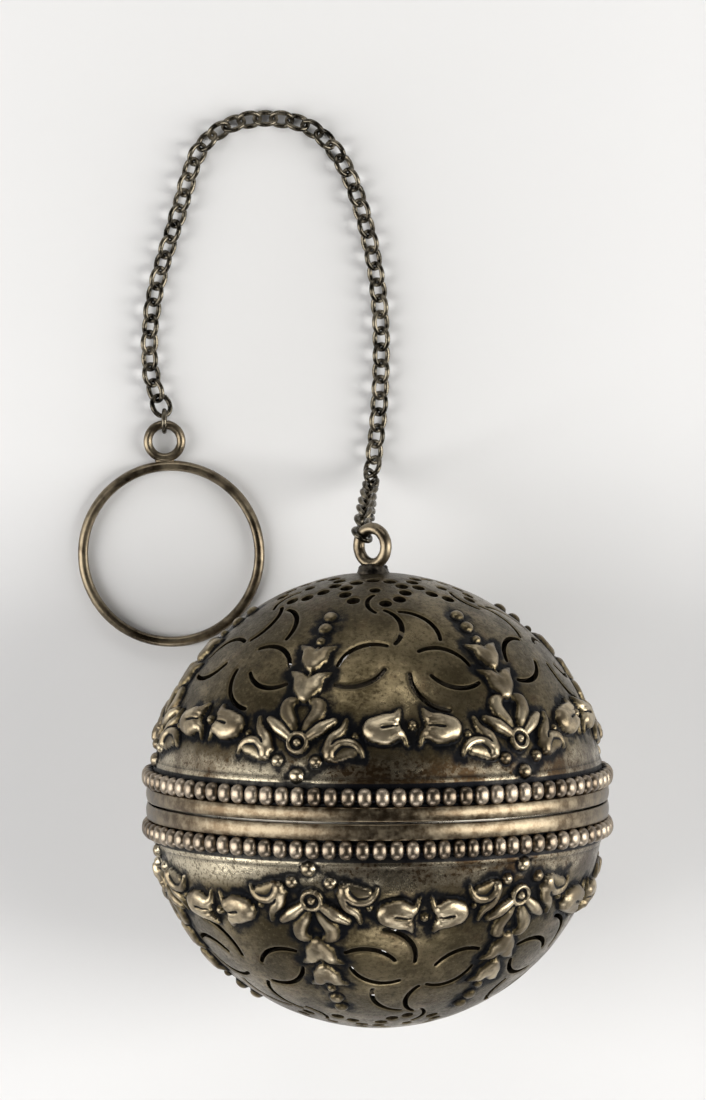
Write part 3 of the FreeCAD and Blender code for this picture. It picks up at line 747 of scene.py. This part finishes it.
def shell_material():
    """Aged silver: dull field, rubbed relief, soot in the hollows, painted shade behind the bead row, and a
    brighter zone above the rim, painted brighter towards the left side.
    """
    m = Nodes("aged_silver_relief")
    relief_h = m.attribute("relief")
    outside = m.attribute("outside")
    hollow = m.attribute("hollow")
    wide = m.attribute("wide")
    hole = m.attribute("hole_gap")
    lat = m.attribute("latitude")
    inner = m.attribute("inner_side")
    clouds = m.noise(110.0, 5.0, 0.62)
    patch = m.noise(330.0, 5.0, 0.62)
    speck = m.noise(2600.0, 3.0, 0.7)
    streak = m.noise(900.0, 4.0, 0.65, stretch=(0.35, 1.0, 0.35))
    # plain field, dull olive with worn clouds, all finely speckled
    worn = m.weighted((clouds, 0.55), (patch, 0.25), (streak, 0.20))
    base = m.mix(m.remap(worn, 0.45, 0.64), OLIVE, WORN)
    base = m.mix(m.remap(patch, 0.54, 0.70, 0.0, 0.55), base, RUST)
    base = m.mix(m.remap(speck, 0.50, 0.66, 0.0, 0.60), base, (0.030, 0.022, 0.012))
    base = m.mix(m.remap(speck, 0.44, 0.32, 0.0, 0.35), base, WORN)
    # zone under the garland: brown mottle rubbed through to bright metal in patches
    zone = m.math("MULTIPLY", m.remap(lat, 18.0, 12.5), m.remap(lat, 7.6, 9.2))
    mottle = m.weighted((clouds, 0.42), (patch, 0.26), (speck, 0.32))
    # the zone is painted brighter towards the left side of the ball, placed by position: a guess
    side = m.add("ShaderNodeSeparateXYZ", Vector=m.position()).outputs["X"]
    brighter_left_mottle = m.math("ADD", mottle, m.remap(side, 0.004, -0.013, 0.0, 0.075))
    rubbed = m.mix(m.remap(brighter_left_mottle, 0.45, 0.59), RUST, (0.61, 0.54, 0.40))
    rubbed = m.mix(m.remap(speck, 0.48, 0.62, 0.0, 0.75), rubbed, (0.040, 0.026, 0.013))
    base = m.mix(m.math("MULTIPLY", zone, 0.85), base, rubbed)
    # rubbed tops of the relief
    top = m.math("MULTIPLY", m.remap(relief_h, 0.22, 0.62), m.remap(wide, 0.03, -0.10))
    rubbed_top = m.mix(m.remap(patch, 0.44, 0.62), (0.20, 0.16, 0.105), BRIGHT)
    base = m.mix(m.math("MULTIPLY", top, 0.90), base, rubbed_top)
    # thin burnished edges round the holes
    base = m.mix(m.math("MULTIPLY", m.remap(hole, 0.16, 0.04), 0.40), base, WORN)
    # soot in the hollows and in an uneven border round the relief, and painted shade on the shell behind the
    # bead row
    wander = m.noise(420.0, 4.0, 0.62)
    reach = m.math("SUBTRACT", outside, m.remap(wander, 0.32, 0.68, -0.15, 0.80))
    halo = m.math("MULTIPLY", m.remap(reach, 0.72, -0.10), m.remap(relief_h, 0.25, 0.03))
    crease = m.remap(hollow, 0.004, 0.036)
    # painted shade: the shell below latitude 9.6, behind and beside the bead row, is painted dark
    rim = m.remap(lat, 9.6, 9.2)
    soot_and_painted_shade = m.math("MAXIMUM", m.math("MULTIPLY", halo, 0.95), m.math("MULTIPLY", crease, 0.92))
    soot_and_painted_shade = m.math("MAXIMUM", soot_and_painted_shade, m.math("MULTIPLY", rim, 0.95))
    base = m.mix(soot_and_painted_shade, base, SOOT_AND_SHADE)
    base = m.mix(m.math("MULTIPLY", inner, 0.85), base, (0.10, 0.085, 0.065))
    m.link(base, m.bsdf.inputs["Base Color"])
    m.bsdf.inputs["Metallic"].default_value = 1.0
    rough = m.remap(worn, 0.40, 0.64, 0.41, 0.25)
    rough = m.math("ADD", rough, m.remap(speck, 0.48, 0.66, 0.0, 0.10))
    rough = m.weighted((rough, m.math("SUBTRACT", 1.0, top)), (top, 0.37))
    rough = m.math("SUBTRACT", rough, m.math("MULTIPLY", zone, 0.06))
    rough = m.math("ADD", rough, m.math("MULTIPLY", soot_and_painted_shade, 0.20))
    m.link(rough, m.bsdf.inputs["Roughness"])
    normal = m.bump(m.noise(2200.0, 5.0, 0.75), 0.42, 0.00006)
    normal = m.bump(patch, 0.30, 0.00016, normal)
    normal = m.bump(streak, 0.16, 0.00008, normal)
    m.link(normal, m.bsdf.inputs["Normal"])
    return m.material


def wire_material(name, bright, dark, patina, scale, rough=(0.22, 0.42)):
    """Worn silver wire and mouldings, clouded from dark to bright."""
    m = Nodes(name)
    clouds = m.noise(scale, 5.0, 0.6)
    fine = m.noise(scale * 5, 3.0, 0.6)
    mixed = m.weighted((clouds, 0.75), (fine, 0.25))
    base = m.mix(m.remap(mixed, 0.36, 0.64, 1.0 - patina, 1.0), dark, bright)
    m.link(base, m.bsdf.inputs["Base Color"])
    m.bsdf.inputs["Metallic"].default_value = 1.0
    m.link(m.remap(mixed, 0.35, 0.70, rough[0], rough[1]), m.bsdf.inputs["Roughness"])
    m.link(m.bump(fine, 0.20, 0.00008), m.bsdf.inputs["Normal"])
    return m.material


def bead_material():
    """Beads rubbed on their tops, with painted shade: black in the gaps between them."""
    m = Nodes("aged_silver_beads")
    clouds = m.noise(200.0, 5.0, 0.6)
    fine = m.noise(2200.0, 3.0, 0.6)
    base = m.mix(m.remap(clouds, 0.38, 0.62), (0.135, 0.105, 0.075), (0.36, 0.30, 0.23))
    base = m.mix(m.remap(fine, 0.52, 0.70, 0.0, 0.5), base, (0.05, 0.036, 0.024))
    # painted shade: where the gap value rises, on the beads' sides and backs and on the wire behind them, the
    # colour goes to black
    base = m.mix(m.remap(m.attribute("gap"), 0.30, 0.95), base, (0.004, 0.004, 0.005))
    m.link(base, m.bsdf.inputs["Base Color"])
    m.bsdf.inputs["Metallic"].default_value = 1.0
    m.link(m.remap(clouds, 0.3, 0.7, 0.29, 0.42), m.bsdf.inputs["Roughness"])
    m.link(m.bump(fine, 0.35, 0.00007), m.bsdf.inputs["Normal"])
    return m.material


SHELL_MATERIAL = shell_material()
BEAD_MATERIAL = bead_material()
RIM_MATERIAL = wire_material("aged_silver_moulding", (0.25, 0.205, 0.14), (0.085, 0.060, 0.036), 1.0, 700.0,
                             (0.28, 0.44))
RING_MATERIAL = wire_material("worn_silver_ring", (0.25, 0.205, 0.14), (0.068, 0.052, 0.034), 1.0, 300.0,
                              (0.26, 0.44))
CHAIN_MATERIAL = wire_material("dark_silver_chain", (0.17, 0.148, 0.11), (0.026, 0.023, 0.018), 1.0, 500.0,
                               (0.20, 0.36))
SOLDER_MATERIAL = wire_material("dark_solder", (0.075, 0.064, 0.05), (0.012, 0.011, 0.010), 1.0, 900.0,
                                (0.34, 0.62))
COLLAR_MATERIAL = wire_material("plain_silver_collar", (0.60, 0.56, 0.49), (0.32, 0.28, 0.22), 0.7, 120.0)


# ---------------------------------------------------------------- building the halves

def hand_over(obj, material, body, node):
    """Gives a piece its material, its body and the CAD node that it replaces."""
    obj.data.materials.append(material)
    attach(obj, body)
    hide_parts(node)


LID_LIFT = 0.22               # the lid is not pushed quite home
DRIFT = 3.4                   # degrees
DRIFT_AT = -30.0              # azimuth in the lower half's own frame
DRIFT_REACH = 22.0            # degrees


def place_half(points, phase, flipped):
    """From the half as drawn, rim down and axis up, to its place in the ball."""
    lift = np.zeros(3) if flipped else np.array([0, LID_LIFT, 0])
    if flipped:
        points = drift(points)
    return points @ half_turn(phase, flipped).T + CENTRE + lift


def drift(points):
    """Turns the lower half's ornament a little about the axis, most of all near DRIFT_AT."""
    azimuth = np.degrees(np.arctan2(points[:, 0], points[:, 2]))
    bend = np.radians(DRIFT) * np.exp(-((azimuth - DRIFT_AT) / DRIFT_REACH) ** 2)
    c, s = np.cos(bend), np.sin(bend)
    x, y, z = points.T
    return np.stack([x * c + z * s, y, z * c - x * s], -1)


def build_shells():
    """The two embossed half shells, one mesh put in both places."""
    verts, faces, sharp, attributes = shell_surfaces()
    for half_name, phase, flipped, body in HALVES:
        obj = make_mesh(half_name + "_embossed_shell", place_half(verts, phase, flipped), faces, sharp,
                        attributes)
        hand_over(obj, SHELL_MATERIAL, body, half_name + "_shell")
        print(obj.name, len(obj.data.polygons), "faces")


BEADS = 88
BEAD_ROW = 22.35              # radius of the row
BEAD_AT = 2.36                # its height above the seam
BEAD_HALF = np.array([0.735, 0.90, 0.68])     # half a bead along the row, up and outwards
BEAD_SQUARE = 0.86            # below 1 a bead is a little square
CORE_AT = BEAD_ROW - 0.22     # the wire behind the beads, and its half sizes
CORE_HALF = (0.42, 0.62)


def build_beads():
    """Both beaded rims: slightly uneven beads on a wire."""
    ring, turns = 12, 16
    theta = np.linspace(0, np.pi, ring + 1)
    phi = np.linspace(0, 2 * np.pi, turns, endpoint=False)
    for half_name, phase, flipped, body in HALVES:
        verts, faces, gap = [], [], []
        gen = np.random.default_rng(11 if flipped else 12)
        for k in range(BEADS):
            angle = 2 * np.pi * (k + gen.uniform(-0.02, 0.02)) / BEADS
            out = np.array([math.sin(angle), 0, math.cos(angle)])
            along = np.array([math.cos(angle), 0, -math.sin(angle)])
            size = BEAD_HALF * (1 + gen.uniform(-0.03, 0.03, 3))
            start = len(verts)
            centre = out * BEAD_ROW + np.array([0, BEAD_AT + gen.uniform(-0.02, 0.02), 0])
            # the poles of the bead point outwards and back
            verts.append(centre + out * size[2])
            gap.append(0.0)
            for t in theta[1:-1]:
                for f in phi:
                    x, y, z = math.sin(t) * math.cos(f), math.sin(t) * math.sin(f), math.cos(t)
                    x, y, z = (math.copysign(abs(q) ** BEAD_SQUARE, q) for q in (x, y, z))
                    verts.append(centre + along * (x * size[0]) + np.array([0, y * size[1], 0])
                                 + out * (z * size[2]))
                    # painted shade: the gap value rises to 1 on a bead's sides and back, turned away from the
                    # outside
                    gap.append(float(smooth(0.40, -0.25, z)))
            verts.append(centre - out * size[2])
            gap.append(1.0)
            for f in range(turns):
                g = (f + 1) % turns
                faces.append((start, start + 1 + f, start + 1 + g))
                for t in range(ring - 2):
                    a = start + 1 + t * turns
                    faces.append((a + f, a + turns + f, a + turns + g, a + g))
                a = start + 1 + (ring - 2) * turns
                faces.append((a + f, start + 1 + (ring - 1) * turns, a + g))
        # the wire behind the beads has the gap value 1 all over, so it is painted black as shade
        start = len(verts)
        loops, sides = 264, 12
        for i in range(loops):
            angle = 2 * np.pi * i / loops
            out = np.array([math.sin(angle), 0, math.cos(angle)])
            for j in range(sides):
                s = 2 * np.pi * j / sides
                verts.append(out * (CORE_AT + CORE_HALF[0] * math.cos(s))
                             + np.array([0, BEAD_AT + CORE_HALF[1] * math.sin(s), 0]))
                gap.append(1.0)
        faces += grid_faces(loops, sides, start)
        obj = make_mesh(half_name + "_beaded_rim", place_half(np.array(verts), phase, flipped), faces, None,
                        {"gap": gap})
        hand_over(obj, BEAD_MATERIAL, body, half_name + "_bead_ring")


def lathe(outline, steps, wobble, seed):
    """A closed ring turned about +Y from (radius, height) points, a little uneven in radius."""
    outline = np.array(outline)
    angle = np.linspace(0, 2 * np.pi, steps, endpoint=False)
    verts = []
    for a in angle:
        verts.append(np.stack([outline[:, 0] * math.sin(a), outline[:, 1], outline[:, 0] * math.cos(a)], -1))
    verts = np.vstack(verts)
    radial = verts.copy()
    radial[:, 1] = 0
    radial /= np.linalg.norm(radial, axis=1)[:, None]
    verts = verts + radial * (wobble * ripple(verts, seed, 9.0, 3))[:, None]
    return verts, grid_faces(steps, len(outline))


def band_profile(low):
    """The plain band beside the seam, gently rounded, and its back against the shell."""
    points = [(22.28, low)]
    for t in np.linspace(0, 1, 16):
        swell = 0.24 * math.sin(math.pi * (0.14 + 0.72 * t)) ** 0.8
        points.append((22.36 + swell, low + 0.02 + (1.40 - low) * t))
    return points + [(22.28, 1.46), (22.0, 1.50), (21.95, 1.35), (21.95, 0.2)]


BAND_LOW = {"upper": 0.08, "lower": -0.10}    # the bands' edges at the seam


def build_bands():
    """The plain moulding on each side of the seam."""
    for half_name, phase, flipped, body in HALVES:
        verts, faces = lathe(band_profile(BAND_LOW[half_name]), 300, 0.020, 21 if flipped else 22)
        obj = make_mesh(half_name + "_seam_moulding", place_half(verts, phase, flipped), faces)
        hand_over(obj, RIM_MATERIAL, body, half_name + "_rim_band")


# ---------------------------------------------------------------- eye, ring and chain

def tube(path, radius, sides):
    """A closed tube round a closed path of points; radius may vary along it."""
    path = np.asarray(path, float)
    n = len(path)
    way = np.roll(path, -1, axis=0) - np.roll(path, 1, axis=0)
    way /= np.linalg.norm(way, axis=1)[:, None]
    middle = path.mean(0)
    flat = np.linalg.svd(path - middle)[2][2]
    side = np.cross(way, flat)
    side /= np.linalg.norm(side, axis=1)[:, None]
    radius = np.broadcast_to(radius, n)
    turn = np.linspace(0, 2 * np.pi, sides, endpoint=False)
    verts = [path[i] + radius[i] * (np.cos(t) * side[i] + np.sin(t) * flat) for i in range(n) for t in turn]
    return np.array(verts), grid_faces(n, sides)


def finish_piece(name, verts, faces, material, body, node):
    """A mesh with its faces turned outwards, handed over."""
    obj = make_mesh(name, verts, faces)
    bm = bmesh.new()
    bm.from_mesh(obj.data)
    bmesh.ops.recalc_face_normals(bm, faces=bm.faces)
    bm.to_mesh(obj.data)
    bm.free()
    hand_over(obj, material, body, node)


def circle(centre, u, v, radius, count):
    """Points round a circle in the plane of the directions u and v."""
    t = np.linspace(0, 2 * np.pi, count, endpoint=False)[:, None]
    return np.asarray(centre) + radius * (np.cos(t) * u + np.sin(t) * v)


def node_box(name):
    """The corners of a CAD node's box, in millimetres."""
    low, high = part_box(name)
    return np.array(low) / MM, np.array(high) / MM


EYE_AT = np.array([-0.4, 24.8 + 0.5 * LID_LIFT, 0])    # from the ball's centre
EYE_TURN = math.radians(41)   # the eye's plane, about the ball's axis
EYE_RADIUS = 1.73             # of the circle that its wire follows
EYE_WIRE = 0.570
SOLDER_WAIST = 1.38           # radius of the solder under the eye, and how much it flares below
SOLDER_FLARE = 0.50
SOLDER_HIGH = 1.42


def build_eye():
    """The wire eye, and the rough solder under it."""
    turn = EYE_TURN
    across = np.array([math.cos(turn), 0, math.sin(turn)])
    up = np.array([0, 1.0, 0])
    path = circle(CENTRE + EYE_AT, across, up, EYE_RADIUS, 120)
    worn = EYE_WIRE + 0.012 * ripple(path, 31, 3.0, 2)
    verts, faces = tube(path, worn, 32)
    verts = verts + 0.010 * ripple(verts, 32, 1.4, 2)[:, None] * np.array([0.6, 0.5, 0.6])
    finish_piece("top_eye_wire", verts, faces, RING_MATERIAL, "lid", "top_eye")
    low, high = node_box("eye_base")
    middle = (low + high) / 2
    rings, sides = 26, 72
    verts = []
    for i in range(rings):
        t = i / (rings - 1)
        radius = SOLDER_WAIST + SOLDER_FLARE * (1 - t) ** 2.0
        if t > 0.6:
            radius = 0.30 + 1.13 * math.sqrt(max(1 - ((t - 0.6) / 0.41) ** 2, 0))
        for j in range(sides):
            a = 2 * math.pi * j / sides
            lean = 1 + 0.16 * math.cos(a + 0.7) * (1 - t)
            verts.append([radius * lean * math.cos(a), -0.22 + SOLDER_HIGH * t, radius * lean * math.sin(a)])
    verts = np.array(verts)
    rough = ripple(verts, 33, 1.5, 4)
    flat = verts * [1, 0, 1]
    away = flat / np.maximum(np.linalg.norm(flat, axis=1), 1e-6)[:, None]
    verts = verts + away * (0.13 * rough)[:, None]
    verts[:, 1] += 0.08 * ripple(verts, 34, 0.9, 3)
    verts = np.vstack([verts, [[0, -0.25, 0], [0, 1.22, 0]]]) + [middle[0], low[1], middle[2]]
    faces = grid_faces(rings, sides, closed=False)
    for j in range(sides):
        k = (j + 1) % sides
        faces.append((len(verts) - 2, k, j))
        faces.append((len(verts) - 1, (rings - 1) * sides + j, (rings - 1) * sides + k))
    finish_piece("eye_solder", verts, faces, SOLDER_MATERIAL, "lid", "eye_base")


RING_TILT = math.radians(1.3)
RING_AT = (-20.89, 23.15)     # its middle on the table
RING_OUTER = 9.56             # radii of the ring outside and of the middle of its band
RING_MIDDLE = 9.03
RING_HALF_HIGH = 0.6
BAIL_RADIUS = 1.70            # of the circle that the bail's wire follows
BAIL_WIRE = 0.455
FOOT_SIDES = 40


def tilted(points):
    """From the ring's own place, flat on the table, to its place tilted about its low edge."""
    c, s = math.cos(RING_TILT), math.sin(RING_TILT)
    x, y, z = points.T
    return np.stack([RING_AT[0] + x, RING_AT[1] - RING_OUTER + (y + RING_OUTER) * c - z * s,
                     (y + RING_OUTER) * s + z * c], -1)


def build_ring():
    """The finger ring, flat inside and round outside."""
    steps, sides = 260, 32
    verts = []
    for i in range(steps):
        a = 2 * math.pi * i / steps
        for j in range(sides):
            t = 2 * math.pi * j / sides
            x, z = math.cos(t), math.sin(t)
            x = math.copysign(abs(x) ** (0.95 if x > 0 else 0.45), x)
            radius = RING_MIDDLE + 0.53 * x
            verts.append([radius * math.cos(a), radius * math.sin(a), RING_HALF_HIGH + RING_HALF_HIGH * z])
    verts = np.array(verts)
    worn = 0.014 * ripple(verts, 41, 7.0, 3) * smooth(8.9, 9.5, np.hypot(verts[:, 0], verts[:, 1]))
    verts[:, :2] *= (1 - np.abs(worn) / 9)[:, None]
    finish_piece("finger_ring_band", tilted(verts), grid_faces(steps, sides), RING_MATERIAL, "finger_ring",
                 "finger_ring")


def build_bail():
    """The wire loop on the ring, and its soldered foot."""
    low, high = node_box("ring_bail")
    c, s = math.cos(RING_TILT), math.sin(RING_TILT)
    up = np.array([0, c, s])
    across = np.array([1.0, 0, 0])
    centre = np.array([(low[0] + high[0]) / 2, high[1] - 2.16 * c, 0])
    centre[2] = high[2] - 0.46 - 1.7 * s
    path = circle(centre, across, up, BAIL_RADIUS, 110)
    verts, faces = tube(path, BAIL_WIRE + 0.01 * ripple(path, 42, 2.5, 2), 28)
    start = len(verts)
    # the soldered foot between the bail and the ring
    foot = circle(centre - up * 2.02, across, np.array([0, -s, c]), 1.0, FOOT_SIDES)
    solder = []
    rings = 8
    for i in range(rings):
        t = i / (rings - 1) * 2 - 1
        for p in (foot - foot.mean(0)) * [1.0, 0.40, 0.40]:
            solder.append(foot.mean(0) + p * (1 - 0.45 * t * t) + up * t * 0.34)
    solder = np.array(solder)
    solder += 0.03 * ripple(solder, 43, 0.8, 3)[:, None]
    more = grid_faces(rings, FOOT_SIDES, start, closed=False)
    more.append([start + j for j in range(FOOT_SIDES)][::-1])
    more.append([start + (rings - 1) * FOOT_SIDES + j for j in range(FOOT_SIDES)])
    finish_piece("ring_bail_wire", np.vstack([verts, solder]), faces + more, RING_MATERIAL, "finger_ring",
                 "ring_bail")


def islands(node):
    """The separate solids of a CAD node in the mesh's own order, as arrays of points in millimetres."""
    bm = bmesh.new()
    bm.from_mesh(node.data)
    bmesh.ops.remove_doubles(bm, verts=bm.verts, dist=1e-6)
    left = dict.fromkeys(bm.verts)
    groups = []
    while left:
        seed = next(iter(left))
        del left[seed]
        group, todo = [seed], [seed]
        while todo:
            for edge in todo.pop().link_edges:
                for other in edge.verts:
                    if other in left:
                        del left[other]
                        group.append(other)
                        todo.append(other)
        groups.append(np.array([v.co[:] for v in group]) / MM)
    bm.free()
    return groups


LINK_WIRE = 0.25              # radius of the wire
LINK_HALF = 1.092             # half the length and half the width of the line that it follows
LINK_WIDE = 0.90
LINK_SQUARE = 0.95            # below 1 a link is a little square


def link_mesh(points, seed):
    """One chain link of soldered wire in the place of a CAD link."""
    box_middle = (points.max(0) + points.min(0)) / 2
    middle = points.mean(0) * 0.5 + box_middle * 0.5
    along, across = np.linalg.svd(points - middle, full_matrices=False)[2][:2]
    gen = np.random.default_rng(seed)
    t = np.linspace(0, 2 * np.pi, 48, endpoint=False)
    x = np.sign(np.cos(t)) * np.abs(np.cos(t)) ** LINK_SQUARE * LINK_HALF
    y = np.sign(np.sin(t)) * np.abs(np.sin(t)) ** LINK_SQUARE * LINK_WIDE * (1 + gen.uniform(-0.03, 0.03))
    path = middle + x[:, None] * along + y[:, None] * across
    joint = gen.choice([math.pi / 2, 3 * math.pi / 2])
    radius = LINK_WIRE * (1 + 0.05 * np.exp(-((t - joint) / 0.16) ** 2) - 0.06 * np.abs(np.cos(t)) ** 6)
    return tube(path, radius, 16)


def build_chain():
    """One wire link in the place of each CAD link, node by node."""
    total = 0
    for name, node in sorted(frame["nodes"].items()):
        if not name.startswith("chain_links"):
            continue
        verts, faces = [], []
        for number, points in enumerate(islands(node)):
            total += 1
            v, f = link_mesh(points, 100 + total)
            start = sum(len(block) for block in verts)
            verts.append(v)
            faces += [tuple(i + start for i in face) for face in f]
        body = [b for b, nodes in frame["record"]["behaviour"]["bodies"].items() if name in nodes][0]
        finish_piece("wire_" + name, np.vstack(verts), faces, CHAIN_MATERIAL, body, name)
    print("chain links", total)


build_shells()
build_beads()
build_bands()
build_eye()
build_ring()
build_bail()
build_chain()

collar = frame["nodes"]["inner_collar"]
for place in collar.material_slots:
    place.material = COLLAR_MATERIAL
